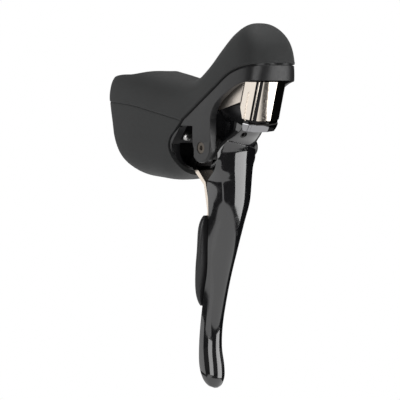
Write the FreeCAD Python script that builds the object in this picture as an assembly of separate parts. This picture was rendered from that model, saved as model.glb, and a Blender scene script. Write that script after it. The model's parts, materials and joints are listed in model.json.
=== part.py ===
"""Left-hand brake and shift lever for a drop handlebar, as an assembly of separate pieces.

Row frame, in millimetres: the origin is the centre of the handlebar bore at the clamp band, +X points
forward, away from the rider, +Y to the rider's left (the lever's outer side) and +Z up, along the bar.

Two axes rule the mechanism.
  The lever axle, along Y, lets the whole head and both levers swing back when the brake is pulled.
  The shift axis, in the XZ plane and tilted down towards the front, carries the winding unit. The main
  lever and the release lever swing inwards (towards -Y) about it.
Pieces on the shift axis are modelled in the unit frame (u along the axis to the front, y, w up) and are
then put in place by seat().
"""

import FreeCAD
import Part
import math
import os

V = FreeCAD.Vector

# ---------------------------------------------------------------- driving dimensions
BAR_R = 12.0                       # handlebar, 24 mm
BAR_CLEAR_R = BAR_R + 0.6          # rubber and ribs stay this far from the bar's axis

PIVOT_X, PIVOT_Z = 55.0, -11.0     # lever axle
EAR_R = 6.6
EAR_REAR_X = PIVOT_X - 5.2          # the ears' straight rear edge
AXLE_R = 2.5
EAR_IN, EAR_OUT = 12.6, 15.8       # faces of the ear on the -Y side; EAR_IN is also the room's half width
FAR_EAR_IN, FAR_EAR_OUT, FAR_EAR_R = 11.4, 13.9, 4.4   # the outer ear's lower end, which steps inwards

UNIT_X, UNIT_Z = 72.0, 6.5         # a point on the shift axis, the origin of the unit frame
TILT = 14.0                        # the shift axis points down towards the front by this angle
SHAFT_R = 3.0                      # shift axle
HUB_R = 9.6                        # main lever's hub
RUN = 0.04                         # radial running clearance

HOOD_T = 2.0                       # rubber thickness
RIM_INSET = 0.5                    # the bracket's bare rim lies this far inside the hood's surface

CASING_Y, CASING_Z = 9.5, 10.2     # outer casing seats, one each side
BRAKE_CASING_R = 2.6
SHIFT_CASING_R = 2.1
SEAT_X0, SEAT_X1, SEAT_STOP = 26.0, 36.0, 34.5

HOOK_X, HOOK_Z = PIVOT_X, PIVOT_Z + 17.0   # brake cable hook, a lever arm of 17 mm
HOOK_R = 3.0

# Side-view stations of the grip: (top x, z), (bottom x, z), half width, squareness.
# Each section lies in the plane through its top and bottom points, square to the XZ plane.
GRIP = [
    ((-13.9, 19.4), (-5.6, -17.2), 15.4, 3.3),
    ((-10.6, 22.9), (-2.8, -21.4), 16.7, 3.2),
    ((2.0, 23.6), (5.0, -24.8), 17.3, 3.2),
    ((16.0, 21.6), (17.0, -26.0), 17.4, 3.1),
    ((28.0, 19.4), (28.5, -26.3), 17.2, 3.1),
    ((38.0, 18.4), (40.0, -23.6), 17.0, 3.1),
    ((46.5, 20.4), (52.0, -22.0), 16.8, 3.1),
    ((54.5, 26.6), (64.0, -22.0), 16.7, 3.0),
    ((61.5, 34.4), (75.0, -22.0), 16.3, 2.8),
    ((68.0, 40.3), (82.4, -12.0), 15.4, 2.7),
    ((75.0, 43.2), (86.0, 2.0), 14.1, 2.6),
    ((81.2, 40.8), (87.5, 15.0), 11.8, 2.5),
    ((85.8, 35.6), (88.3, 22.0), 8.0, 2.3),
    ((87.9, 30.6), (88.7, 26.0), 3.0, 2.1),
]
SECTION_POINTS = 24

# The hood's front edge in side view: along the rim, then round the notch behind the ear.
RIM_EDGE = [(104.0, 27.0), (88.0, 25.2), (78.4, 23.4), (71.9, 20.7), (65.3, 15.9), (56.1, 9.3), (43.5, 0.6)]
NOTCH_EDGE = [(43.5, 0.6), (39.0, -4.0), (35.6, -7.4), (34.6, -11.0), (36.0, -15.0), (38.6, -19.6),
              (39.8, -24.0), (40.4, -34.0)]

# The rim's inner edge in side view, in front of and below which the bracket is open.
ARCH_EDGE = [(104.0, 18.7), (86.0, 18.5), (78.5, 17.2), (71.0, 13.2), (64.4, 8.2), (61.6, 2.0)]

# Main lever blade, section by section downwards:
# z, x of the front crown, x and half width of the front ridges, x and half width of the rear edges, middle y.
BLADE = [
    (3.0, 74.6, 73.8, 6.0, 65.5, 7.0, 0.0),
    (-2.0, 73.2, 72.2, 6.2, 64.5, 7.2, 0.0),
    (-5.0, 71.0, 69.6, 7.2, 63.8, 8.4, -0.3),
    (-8.5, 68.6, 66.8, 8.7, 62.6, 10.0, -1.1),
    (-12.0, 66.7, 64.6, 8.9, 61.9, 10.8, -1.5),
    (-16.0, 65.5, 63.3, 8.9, 61.0, 10.8, -1.5),
    (-21.0, 64.9, 62.7, 8.8, 57.6, 10.5, -1.1),
    (-27.0, 64.1, 61.8, 8.4, 53.4, 10.2, -0.4),
    (-35.0, 63.2, 61.2, 7.6, 53.4, 9.9, 0.0),
    (-44.0, 61.6, 59.8, 5.8, 53.0, 9.3, 0.0),
    (-54.0, 59.4, 58.0, 4.2, 51.6, 8.3, 0.0),
    (-66.0, 56.0, 54.6, 3.6, 49.5, 6.8, 0.0),
    (-78.0, 52.8, 51.4, 3.6, 46.2, 6.1, 0.0),
    (-90.0, 50.3, 48.8, 4.0, 43.8, 5.6, 0.0),
    (-100.0, 49.6, 48.0, 4.5, 43.0, 5.6, 0.0),
    (-108.0, 50.9, 49.4, 4.9, 43.6, 5.8, 0.0),
    (-113.5, 51.2, 50.0, 4.6, 45.2, 5.2, 0.0),
    (-116.8, 50.0, 49.3, 3.0, 46.9, 3.5, 0.0),
    (-118.0, 49.0, 48.8, 1.0, 48.3, 1.1, 0.0),
]
BLADE_WALL = 2.2

# Release paddle, downwards: z, front x, rear x, inner edge y, outer edge y.
PADDLE = [
    (-41.0, 50.6, 49.0, -9.4, 0.6),
    (-44.0, 50.9, 47.8, -10.9, 2.4),
    (-53.0, 49.9, 46.8, -11.4, 3.4),
    (-62.0, 48.4, 45.4, -10.9, 3.4),
    (-71.0, 46.2, 43.4, -9.4, 2.4),
    (-78.0, 44.6, 42.2, -7.2, 0.6),
    (-81.6, 43.8, 42.2, -4.9, -2.0),
]

UNIT = FreeCAD.Placement(V(UNIT_X, 0, UNIT_Z), FreeCAD.Rotation(V(0, 1, 0), TILT))


# ---------------------------------------------------------------- small helpers
def box(x0, x1, y0, y1, z0, z1):
    return Part.makeBox(x1 - x0, y1 - y0, z1 - z0, V(x0, y0, z0))


def rod(start, end, r):
    """A cylinder between two points."""
    start, end = V(*start), V(*end)
    return Part.makeCylinder(r, (end - start).Length, start, end - start)


def tube(start, end, r_out, r_in):
    return rod(start, end, r_out).cut(rod(start, end, r_in))


def fuse(first, *others):
    shape = first
    for other in others:
        shape = shape.fuse(other)
    return shape.removeSplitter()


def cut(shape, *tools):
    for tool in tools:
        shape = shape.cut(tool)
    return shape


def seat(shape):
    """Moves a piece from the unit frame to the row frame."""
    shape = shape.copy()
    shape.Placement = UNIT.multiply(shape.Placement)
    return shape


def spline(points):
    """A smooth edge through side-view points (x, z)."""
    curve = Part.BSplineCurve()
    curve.interpolate([V(x, 0, z) for x, z in points])
    return curve.toShape()


def line(a, b):
    return Part.makeLine(V(a[0], 0, a[1]), V(b[0], 0, b[1]))


def across(wire_edges, y0, y1):
    """A prism along Y from edges drawn in side view."""
    face = Part.Face(Part.Wire(wire_edges))
    face.translate(V(0, y0, 0))
    return face.extrude(V(0, y1 - y0, 0))


def profile(points, y0, y1):
    """A prism along Y from side-view corners."""
    edges = [line(a, b) for a, b in zip(points, points[1:] + points[:1])]
    return across(edges, y0, y1)


def along(points, u0, u1):
    """A prism along the first axis from corners in the (y, w) plane."""
    corners = [V(u0, y, w) for y, w in points]
    face = Part.Face(Part.makePolygon(corners + corners[:1]))
    return face.extrude(V(u1 - u0, 0, 0))


def loft(sections):
    """A smooth solid through closed sections, each a list of points."""
    wires = []
    for points in sections:
        curve = Part.BSplineCurve()
        curve.interpolate(Points=points, PeriodicFlag=True)
        wires.append(Part.Wire(curve.toShape()))
    return Part.makeLoft(wires, True, False)


def coil(r, wire_r, turns, pitch):
    """Close-wound turns of wire about +Z, from z = 0 up, each turn a ring that bites into the next."""
    rings = [Part.makeTorus(r, wire_r, V(0, 0, k * pitch)) for k in range(turns)]
    return fuse(*rings)


def save(name, shape):
    """Writes one node, and stops if it isn't closed, valid solids."""
    solids = shape.Solids
    if not solids or not shape.isValid() or min(s.Volume for s in solids) <= 0:
        raise RuntimeError(f"{name} is not a set of valid solids")
    os.makedirs("parts", exist_ok=True)
    made = solids[0] if len(solids) == 1 else Part.makeCompound(solids)
    made.exportStep(f"parts/{name}.step")
    print(f"{name}: {len(solids)} solid(s), {shape.Volume:.0f} mm3")


# ---------------------------------------------------------------- grip shape, shared by hood and bracket
def grip(inset, rear_extra=0.0):
    """The grip's outer form, moved inwards by inset; rear_extra lengthens its rear end."""
    sections = []
    for number, ((tx, tz), (bx, bz), half, square) in enumerate(GRIP):
        top, bottom = V(tx, 0, tz), V(bx, 0, bz)
        axis = (top - bottom).normalize()
        middle, height = (top + bottom) * 0.5, (top - bottom).Length / 2 - inset
        if number == 0:
            middle = middle - V(rear_extra, 0, 0)
        if number == len(GRIP) - 1:
            middle = middle - V(inset, 0, 0)
        points = []
        for step in range(SECTION_POINTS):
            angle = 2 * math.pi * step / SECTION_POINTS
            c, s = math.cos(angle), math.sin(angle)
            up = math.copysign(abs(c) ** (2 / square), c) * height
            side = math.copysign(abs(s) ** (2 / square), s) * (half - inset)
            points.append(middle + axis * up + V(0, side, 0))
        sections.append(points)
    return loft(sections)


def hood_zone():
    """Everything above and behind the hood's front edge, over the whole width."""
    far = 60.0
    edges = [
        spline(RIM_EDGE),
        spline(NOTCH_EDGE),
        line(NOTCH_EDGE[-1], (NOTCH_EDGE[-1][0], -far)),
        line((NOTCH_EDGE[-1][0], -far), (-far, -far)),
        line((-far, -far), (-far, far)),
        line((-far, far), (RIM_EDGE[0][0], far)),
        line((RIM_EDGE[0][0], far), RIM_EDGE[0]),
    ]
    return across(Part.__sortEdges__(edges), -30.0, 30.0)


def bar_space(r):
    """The handlebar's room: its cylinder, and everything behind it between the hood's flanks."""
    return rod((0, 0, -60), (0, 0, 60), r).fuse(box(-40, 0, -r, r, -60, 60))


# ---------------------------------------------------------------- fixed pieces
BAND_MID_R, NUT_MID_R, NUT_X = 12.6, 4.9, 18.0
BAND_T, BAND_HALF = 1.2, 6.0
BOLT_DIR = V(math.cos(math.radians(45)), math.sin(math.radians(45)), 0)
BOLT_SEAT, BOLT_HEAD_R, BOLT_HEAD_L, BOLT_R = 11.0, 4.25, 5.0, 2.5


def bolt_point(s):
    return V(NUT_X, 0, 0) + BOLT_DIR * s


def bolt_rod(s0, s1, r):
    return Part.makeCylinder(r, s1 - s0, bolt_point(s0), BOLT_DIR)


def strap_loop(grow, half_height):
    """The filled outline of the strap's mid-line loop, grown by grow."""
    big, small = BAND_MID_R + grow, NUT_MID_R + grow
    angle = math.acos((BAND_MID_R - NUT_MID_R) / NUT_X)
    c, s = math.cos(angle), math.sin(angle)
    z = -half_height
    p = [V(big * c, big * s, z), V(NUT_X + small * c, small * s, z)]
    q = [V(v.x, -v.y, v.z) for v in p]
    edges = [
        Part.Arc(p[0], V(-big, 0, z), q[0]).toShape(),
        Part.makeLine(q[0], q[1]),
        Part.Arc(q[1], V(NUT_X + small, 0, z), p[1]).toShape(),
        Part.makeLine(p[1], p[0]),
    ]
    return Part.Face(Part.Wire(edges)).extrude(V(0, 0, 2 * half_height))


def clamp_band():
    band = strap_loop(BAND_T / 2, BAND_HALF).cut(strap_loop(-BAND_T / 2, BAND_HALF))
    return band.cut(bolt_rod(0, 10, BOLT_R + 0.3))


def clamp_nut():
    nut = rod((NUT_X, 0, -6.4), (NUT_X, 0, 6.4), NUT_MID_R - BAND_T / 2)
    return nut.cut(bolt_rod(-8, 8, BOLT_R))


def clamp_bolt():
    bolt = bolt_rod(-3.5, BOLT_SEAT + 0.9, BOLT_R).fuse(
        bolt_rod(BOLT_SEAT + 0.9, BOLT_SEAT + 0.9 + BOLT_HEAD_L, BOLT_HEAD_R))
    end = BOLT_SEAT + 0.9 + BOLT_HEAD_L
    hexagon = hex_prism(2.5, 3.0)
    hexagon.Placement = FreeCAD.Placement(bolt_point(end - 3.0), FreeCAD.Rotation(V(0, 0, 1), BOLT_DIR))
    return bolt.cut(hexagon).removeSplitter()


def clamp_washer():
    return bolt_rod(BOLT_SEAT, BOLT_SEAT + 0.9, 4.8).cut(bolt_rod(BOLT_SEAT - 1, BOLT_SEAT + 2, BOLT_R + 0.2))


def hex_prism(inner_r, length):
    """A hexagon along +Z, across flats twice inner_r."""
    outer = inner_r / math.cos(math.radians(30))
    corners = [V(outer * math.cos(math.radians(60 * k)), outer * math.sin(math.radians(60 * k)), 0)
               for k in range(7)]
    return Part.Face(Part.makePolygon(corners)).extrude(V(0, 0, length))


def rounded_ear(y0, y1, outer, z_top, front_x, end_r):
    """A flat ear hanging down to the lever axle, with a rounded outer edge."""
    ear = fuse(box(EAR_REAR_X, front_x, y0, y1, PIVOT_Z, z_top),
               rod((PIVOT_X, y0, PIVOT_Z), (PIVOT_X, y1, PIVOT_Z), end_r))
    ear = ear.common(box(EAR_REAR_X, front_x + 5, y0, y1, -40, z_top))
    edges = [e for e in ear.Edges
             if all(abs(v.Y - outer) < 1e-3 for v in e.Vertexes) and e.BoundBox.ZMin < z_top - 0.5]
    return ear.makeFillet(0.9, edges)


def near_ear():
    return rounded_ear(-EAR_OUT, -EAR_IN, -EAR_OUT, 6.0, PIVOT_X + EAR_R, EAR_R)


def far_ear():
    """The outer ear: its upper part follows the side wall and its end steps inwards."""
    upper = box(EAR_REAR_X, PIVOT_X + 3.0, EAR_IN, EAR_OUT - 0.6, -4.0, 6.0)
    return upper.fuse(rounded_ear(FAR_EAR_IN, FAR_EAR_OUT, FAR_EAR_OUT, -2.0, PIVOT_X + 3.4, FAR_EAR_R))


def cavity():
    """The room for the lever support and the winding unit, open to the front and below."""
    main = profile([(37, -45), (37, 12.5), (44, 16.6), (50, 19.6), (56, 22), (78.5, 22), (79.5, 18.6),
                    (110, 18.6), (110, -45)], -EAR_IN, EAR_IN)
    horn = profile([(60, 21), (64, 30), (69, 36), (76, 37.5), (80.5, 34), (82, 25), (79, 21)], -9.5, 9.5)
    return main.fuse(horn)


def open_front():
    """What the bracket leaves open over its whole width: in front of the arch, and the notch."""
    front = across([spline(ARCH_EDGE),
                    line(ARCH_EDGE[-1], (61.6, -50)),
                    line((61.6, -50), (104, -50)),
                    line((104, -50), ARCH_EDGE[0])], -30, 30)
    notch = fuse(profile([(35.4, -50), (35.4, -10), (41.8, -1.6), (EAR_REAR_X, -1.6), (EAR_REAR_X, -50)], -30, 30),
                 profile([(EAR_REAR_X, -50), (EAR_REAR_X, PIVOT_Z), (61.8, PIVOT_Z), (61.8, -50)], -30, 30))
    return front.fuse(notch)


def outer_wall_trim():
    """The outer side wall ends short beside the lever's neck, where the outer ear steps inwards."""
    return box(55.5, 70, EAR_IN - 0.4, 20, -30, -3.6)


def plate_room():
    """A pocket inside the inner wall for the release plate's edge at full swing."""
    return box(46.2, 50.9, -15.1, -EAR_IN + 1, -2.0, 2.4)


def bracket_body():
    inner = grip(HOOD_T, 3.0)
    rim = grip(RIM_INSET).cut(hood_zone())
    body = inner.fuse(rim)
    body = cut(body, open_front())
    body = cut(body.fuse(near_ear()), cavity(), outer_wall_trim(), plate_room()).fuse(far_ear())
    belly = grip(HOOD_T + 2.4).common(box(15, 37.5, -11.5, 11.5, -40, -9.5))
    body = body.cut(belly)
    # Rear: saddle for the bar, strap slot, nut pocket, bolt tunnel.
    saddle_top, saddle_x = 7.0, 3.2
    body = cut(body,
               box(-40, saddle_x, -30, 30, -60, 60),
               rod((0, 0, -60), (0, 0, 60), BAR_R),
               rod((0, 0, saddle_top), (0, 0, 60), BAR_CLEAR_R),
               rod((0, 0, -60), (0, 0, -14.0), BAR_CLEAR_R))
    slot = strap_loop(BAND_T / 2 + 0.4, 6.7).cut(strap_loop(-BAND_T / 2 - 0.3, 6.7))
    body = cut(body, slot,
               rod((NUT_X, 0, -6.9), (NUT_X, 0, 6.9), NUT_MID_R - 0.2),
               bolt_rod(0, BOLT_SEAT + 1, BOLT_R + 0.4),
               bolt_rod(BOLT_SEAT, 30, 5.2))
    # Casing channels behind the seats, open upwards, and the seats' own holes.
    for side, seat_r in ((1, BRAKE_SEAT_R), (-1, SHIFT_SEAT_R)):
        y = side * CASING_Y
        body = cut(body,
                   rod((SEAT_X0, y, CASING_Z), (40, y, CASING_Z), seat_r),
                   rod((-20, y, CASING_Z), (SEAT_X0, y, CASING_Z), seat_r),
                   box(-20, SEAT_X0, y - seat_r, y + seat_r, CASING_Z, 60))
    body = cut(body,
               rod((PIVOT_X, -30, PIVOT_Z), (PIVOT_X, 30, PIVOT_Z), AXLE_R),
               guide_screw_rod(1.0, -6.0, 0.0),
               set_screw_hole())
    solids = sorted(body.Solids, key=lambda s: -s.Volume)
    return solids[0].removeSplitter()


BRAKE_SEAT_R, SHIFT_SEAT_R = 3.3, 2.9


def casing_seat(y, outer_r, casing_r):
    """A sleeve with a shoulder that stops the outer casing; the inner wire runs on through it."""
    sleeve = rod((SEAT_X0, y, CASING_Z), (SEAT_X1 + 0.6, y, CASING_Z), outer_r)
    return cut(sleeve,
               rod((SEAT_X0 - 1, y, CASING_Z), (SEAT_STOP, y, CASING_Z), casing_r),
               rod((SEAT_X0, y, CASING_Z), (SEAT_X1 + 2, y, CASING_Z), 1.1))


def guide_screw_rod(r, x0, x1):
    return rod((37.0 + x0, -8.6, -6.6), (37.0 + x1, -8.6, -6.6), r)


def guide_screw():
    head = Part.makeSphere(2.6, V(36.0, -8.6, -6.6)).common(box(37.0, 40, -20, 0, -20, 10))
    slot = box(38.1, 40, -11, -6, -6.9, -6.3)
    return fuse(head, guide_screw_rod(1.0, -5.5, 0.2)).cut(slot)


SET_SCREW_Y = (FAR_EAR_IN + FAR_EAR_OUT) / 2


def set_screw_hole():
    return rod((PIVOT_X - 6, SET_SCREW_Y, PIVOT_Z), (PIVOT_X - AXLE_R + 0.3, SET_SCREW_Y, PIVOT_Z), 1.0)


def axle_set_screw():
    return rod((PIVOT_X - 4.2, SET_SCREW_Y, PIVOT_Z), (PIVOT_X - AXLE_R + 0.25, SET_SCREW_Y, PIVOT_Z), 1.0)


def lever_axle():
    near, far = -EAR_OUT + 0.3, FAR_EAR_OUT - 0.3
    axle = rod((PIVOT_X, near, PIVOT_Z), (PIVOT_X, far, PIVOT_Z), AXLE_R)
    dimples = [rod((PIVOT_X, y - 1.0, PIVOT_Z), (PIVOT_X, y + 1.0, PIVOT_Z), 1.1) for y in (near, far)]
    groove = rod((PIVOT_X - 4, SET_SCREW_Y, PIVOT_Z), (PIVOT_X - AXLE_R + 0.25, SET_SCREW_Y, PIVOT_Z), 1.02)
    return cut(axle, *dimples, groove)


def hood():
    skin = grip(0.0).common(hood_zone())
    skin = cut(skin, grip(HOOD_T, 3.0), bar_space(BAR_CLEAR_R))
    return max(skin.Solids, key=lambda s: s.Volume)


# ---------------------------------------------------------------- lever support and what is fixed to it
def pivot_rod(y0, y1, r):
    return rod((PIVOT_X, y0, PIVOT_Z), (PIVOT_X, y1, PIVOT_Z), r)


WEB_U0, WEB_U1 = -16.5, -13.0
LUG_Y0, LUG_Y1 = 6.5, 12.3
BOSS_Y0, BOSS_Y1 = -EAR_IN + 0.3, FAR_EAR_IN - 0.3


def lever_support():
    """The casting on the lever axle. Its web holds the shift axle and its lug the brake cable hook."""
    web = seat(along([(-6.0, 9.4), (6.0, 9.4), (9.4, 6.0), (9.4, -8.0), (5.0, -24.0), (-5.0, -24.0),
                      (-9.4, -8.0), (-9.4, 6.0)], WEB_U0, WEB_U1))
    boss = fuse(pivot_rod(-5.2, 5.2, 4.4), pivot_rod(BOSS_Y0, BOSS_Y1, 3.6))
    lug = rod((HOOK_X, LUG_Y0, HOOK_Z), (HOOK_X, LUG_Y1, HOOK_Z), 4.5)
    body = fuse(web, boss, lug)
    return cut(body,
               seat(rod((WEB_U0 - 1, 0, 0), (WEB_U1 + 1, 0, 0), SHAFT_R)),
               pivot_rod(-20, 20, BUSH_R),
               rod((HOOK_X, LUG_Y0 - 1, HOOK_Z), (HOOK_X, 20, HOOK_Z), HOOK_R + RUN),
               box(HOOK_X - 8, HOOK_X - 1, 8.4, 10.6, HOOK_Z - 1.3, HOOK_Z + 3.3),
               box(HOOK_X + 1, HOOK_X + 5.5, 7.4, 11.4, HOOK_Z - 2.1, HOOK_Z + 2.1),
               seat(rod((WEB_U0 - 1, 0, STOP_PIN_W), (WEB_U1 + 1, 0, STOP_PIN_W), STOP_PIN_R)))


BUSH_R = 3.05


def pivot_bushes():
    halves = [tube((PIVOT_X, y0, PIVOT_Z), (PIVOT_X, y1, PIVOT_Z), BUSH_R, AXLE_R + RUN)
              for y0, y1 in ((BOSS_Y0, -4.0), (4.0, BOSS_Y1))]
    return Part.makeCompound(halves)


def return_spring():
    """The torsion spring round the boss that swings the lever back."""
    turns = coil(4.7, 0.55, 5, 0.95)
    turns.rotate(V(0, 0, 0), V(1, 0, 0), -90)
    turns.translate(V(PIVOT_X, -11.6, PIVOT_Z))
    return turns


def shift_axle():
    return seat(rod((-26.0, 0, 0), (7.5, 0, 0), SHAFT_R))


def axle_nut():
    nut = hex_prism(4.0, 2.2)
    nut.Placement = FreeCAD.Placement(V(5.3, 0, 0), FreeCAD.Rotation(V(0, 0, 1), V(1, 0, 0)))
    return seat(nut.cut(rod((0, 0, 0), (10, 0, 0), SHAFT_R)))


CAP_HALF, CAP_BEND_HALF, CAP_FACE_HALF = 10.9, 8.1, 4.4   # half widths: flanks, outer bends, front facet
CAP_WALL = 0.8
CAP_REAR, CAP_SWING_R, CAP_BOTTOM_W = -10.9, 12.0, -8.6
CAP_TOP_Z, CAP_TOP_X = 17.9, 72.0            # level top, and where it starts to rise towards the rear
# The front leans out towards the top: height w, u of the flanks' front edges, of the bends and of the facet.
CAP_LEAN = [(-14.0, 5.8, 7.8, 8.3), (20.0, 6.3, 8.3, 8.8)]


def cap_plan(w, flank_u, bend_u, facet_u, inset):
    """One level of the cap's outline, moved inwards by inset."""
    half, bend, face = CAP_HALF - inset, CAP_BEND_HALF - 0.4 * inset, CAP_FACE_HALF - 0.1 * inset
    rear, flank, turn, front = CAP_REAR - inset, flank_u - 0.6 * inset, bend_u - inset, facet_u - inset
    inner = [V(rear, -half, w), V(flank, -half, w), V(turn, -bend, w), V(front, -face, w)]
    corners = inner + [V(p.x, -p.y, w) for p in reversed(inner)]
    return Part.makePolygon(corners + corners[:1])


def cap_form(inset):
    """The front cap's outer form, moved inwards by inset, in the unit frame."""
    form = Part.makeLoft([cap_plan(*level, inset) for level in CAP_LEAN], True, True)
    if inset == 0.0:
        uprights = [e for e in form.Edges if e.BoundBox.ZLength > 30 and e.BoundBox.XMin > 0]
        form = form.makeFillet(0.35, uprights)
    allowed = fuse(rod((CAP_REAR - 5, 0, 0), (20, 0, 0), CAP_SWING_R - inset),
                   box(CAP_REAR - 5, 20, -20, 20, 0, 30))
    chin = profile([(4.6 - inset, -13.0), (20, -13.0), (20, -1.0), (9.6 - inset, -5.2)], -20, 20)
    form = form.common(allowed).cut(chin)
    return form.common(box(-40, 40, -20, 20, CAP_BOTTOM_W + inset, 30))


def under_roof(drop):
    """The space below the cap's roof, lowered by drop."""
    level = CAP_TOP_Z - drop
    return profile([(CAP_TOP_X - 30, level + 30 * math.tan(math.radians(TILT))), (CAP_TOP_X, level), (120, level),
                    (120, -60), (CAP_TOP_X - 30, -60)], -20, 20)


def front_cap():
    """The bright cap over the winding unit's front, cut away at the sides where the lever's neck swings."""
    windows = profile([(-30, -15.0), (2.4, 3.4), (4.6, -4.6), (4.6, -30), (-30, -30)], -20, 20)
    outer = seat(cap_form(0.0)).common(under_roof(0.0))
    inner = seat(cap_form(CAP_WALL)).common(under_roof(CAP_WALL))
    body = outer.cut(inner).cut(seat(windows))
    return cut(body, *[cap_screw(y) for y in CAP_SCREWS_Y])


CAP_SCREWS_X, CAP_SCREWS_Y, CAP_TAB_Z = 79.8, (-4.6, 4.6), 14.4


def cap_screw(y):
    """A flat-headed screw through the cap's roof into the front plate's tab."""
    shank = rod((CAP_SCREWS_X, y, CAP_TAB_Z), (CAP_SCREWS_X, y, CAP_TOP_Z - CAP_WALL), 1.0)
    head = rod((CAP_SCREWS_X, y, CAP_TOP_Z - CAP_WALL), (CAP_SCREWS_X, y, CAP_TOP_Z), 1.7)
    return fuse(shank, head)


def cap_screws():
    return Part.makeCompound([cap_screw(y) for y in CAP_SCREWS_Y])


def front_plate():
    """Keyed to the shift axle; its top tab takes the cap's screws."""
    plate = along([(-8.4, 10.4), (8.4, 10.4), (9.4, 8.0), (9.4, -3.0), (6.0, -7.2), (-6.0, -7.2), (-9.4, -3.0),
                   (-9.4, 8.0)], 3.8, 5.2)
    plate = seat(plate.cut(rod((0, 0, 0), (10, 0, 0), SHAFT_R)))
    tab = box(78.2, 81.2, -7.0, 7.0, CAP_TAB_Z, CAP_TAB_Z + 1.6)
    return cut(fuse(plate, tab), *[cap_screw(y) for y in CAP_SCREWS_Y])


def unit_cover():
    """The black cover over the back of the winding unit."""
    outer = along([(-7.0, 11.0), (7.0, 11.0), (11.2, 6.8), (11.2, -6.0), (-11.2, -6.0), (-11.2, 6.8)],
                  WEB_U0, CAP_REAR - 0.3)
    inner = along([(-6.2, 9.9), (6.2, 9.9), (9.9, 6.2), (9.9, -7.0), (-9.9, -7.0), (-9.9, 6.2)],
                  WEB_U0 - 1, CAP_REAR + 1)
    lug_room = rod((HOOK_X, LUG_Y0 - 0.2, HOOK_Z), (HOOK_X, 20, HOOK_Z), 4.7)
    return seat(outer.cut(inner)).cut(lug_room)


STOP_PIN_W, STOP_PIN_R = 8.2, 0.6


def stop_pawl():
    """Sits over the index wheel, lifted clear of its teeth."""
    arm = along([(-1.4, 7.5), (1.6, 7.2), (1.4, 9.6), (-1.2, 9.7)], -12.8, -11.4)
    tail = along([(-6.0, 4.6), (-5.0, 5.0), (-1.0, 7.6), (-1.0, 9.0), (-5.4, 6.6)], -12.8, -11.4)
    return seat(fuse(arm, tail).cut(rod((-20, 0, STOP_PIN_W), (0, 0, STOP_PIN_W), STOP_PIN_R)))


def stop_pawl_pin():
    return seat(rod((WEB_U0, 0, STOP_PIN_W), (-11.4, 0, STOP_PIN_W), STOP_PIN_R))


REAR_PLATE_U0, REAR_PLATE_U1 = -24.2, -22.8


def rear_washer():
    return seat(tube((-24.9, 0, 0), (-24.35, 0, 0), 4.2, SHAFT_R))


def rear_clip():
    clip = tube((-25.6, 0, 0), (-24.95, 0, 0), 3.9, SHAFT_R - 0.5)
    return seat(clip.cut(box(-30, 0, -1.6, 1.6, -8, 0)))


def grooved_axle():
    groove = tube((-25.6, 0, 0), (-24.95, 0, 0), 4.2, SHAFT_R - 0.5)
    return shift_axle().cut(seat(groove))


def axle_spacer():
    return seat(tube((-19.8, 0, 0), (WEB_U0 - 0.1, 0, 0), 4.0, SHAFT_R))


# ---------------------------------------------------------------- winding unit
def toothed(root_r, tip_r, teeth, u0, u1):
    """A saw-toothed wheel on the shift axle."""
    corners = []
    for k in range(teeth):
        a = 2 * math.pi * k / teeth
        b = 2 * math.pi * (k + 0.85) / teeth
        corners.append((tip_r * math.cos(a), tip_r * math.sin(a)))
        corners.append((root_r * math.cos(b), root_r * math.sin(b)))
    return seat(along(corners, u0, u1).cut(rod((u0 - 1, 0, 0), (u1 + 1, 0, 0), SHAFT_R + RUN)))


def cable_drum():
    drum = tube((-11.2, 0, 0), (-6.4, 0, 0), 8.3, SHAFT_R + RUN)
    groove = Part.makeTorus(8.6, 1.1, V(-8.8, 0, 0), V(1, 0, 0))
    cable_hole = rod((-10.6, 6.0, 0), (-5.0, 6.0, 0), 1.0)
    return seat(cut(drum, groove, cable_hole))


def ratchet_wheel():
    return toothed(5.3, 6.2, 12, -6.4, -4.9)


def index_wheel():
    return toothed(5.9, 6.7, 12, -12.7, -11.2)


# ---------------------------------------------------------------- brake cable hook
def cable_hook():
    barrel = rod((HOOK_X, 6.8, HOOK_Z), (HOOK_X, 12.1, HOOK_Z), HOOK_R)
    return cut(barrel,
               rod((HOOK_X - 6, 9.5, HOOK_Z), (HOOK_X + 6, 9.5, HOOK_Z), 0.95),
               rod((HOOK_X + 0.6, 9.5, HOOK_Z), (HOOK_X + 6, 9.5, HOOK_Z), 2.0))


# ---------------------------------------------------------------- main lever
def blade_section(z, crown, ridge_x, ridge_h, rear_x, rear_h, middle):
    """One closed section of the blade: crowned front, ridges, flanks that flare to the rear edges."""
    front = [(crown, 0.0), (ridge_x + 0.78 * (crown - ridge_x), 0.5), (ridge_x + 0.25, 0.93)]
    side = [V(x, part * ridge_h, z) for x, part in front]
    flank_y = ridge_h + 0.14 * (rear_h - ridge_h)
    side.append(V(ridge_x - 0.08 * (ridge_x - rear_x), flank_y + 0.04 * ridge_h, z))
    side.append(V(0.5 * (ridge_x + rear_x), 0.5 * (ridge_h + rear_h) + 0.35, z))
    side.append(V(rear_x + 0.08 * (ridge_x - rear_x), rear_h, z))
    side.append(V(rear_x, 0.86 * rear_h, z))
    rear = [V(rear_x + 0.1, 0.0, z)]
    mirrored = [V(p.x, -p.y, p.z) for p in reversed(side[1:])]
    return [p + V(0, middle, 0) for p in side + rear + mirrored]


def blade_channel():
    """The hollow in the back of the blade, open to the rear."""
    wires = []
    for z, crown, ridge_x, ridge_h, rear_x, rear_h, middle in BLADE[6:12]:
        front_h = max(ridge_h - BLADE_WALL, 1.2)
        rear_half = max(rear_h - BLADE_WALL, 1.8)
        front = max(ridge_x - 1.2, rear_x + 1.6)
        corners = [V(front, middle - front_h, z), V(rear_x - 6, middle - rear_half - 0.4, z),
                   V(rear_x - 6, middle + rear_half + 0.4, z), V(front, middle + front_h, z)]
        wires.append(Part.makePolygon(corners + corners[:1]))
    return Part.makeLoft(wires, True, True)


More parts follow.
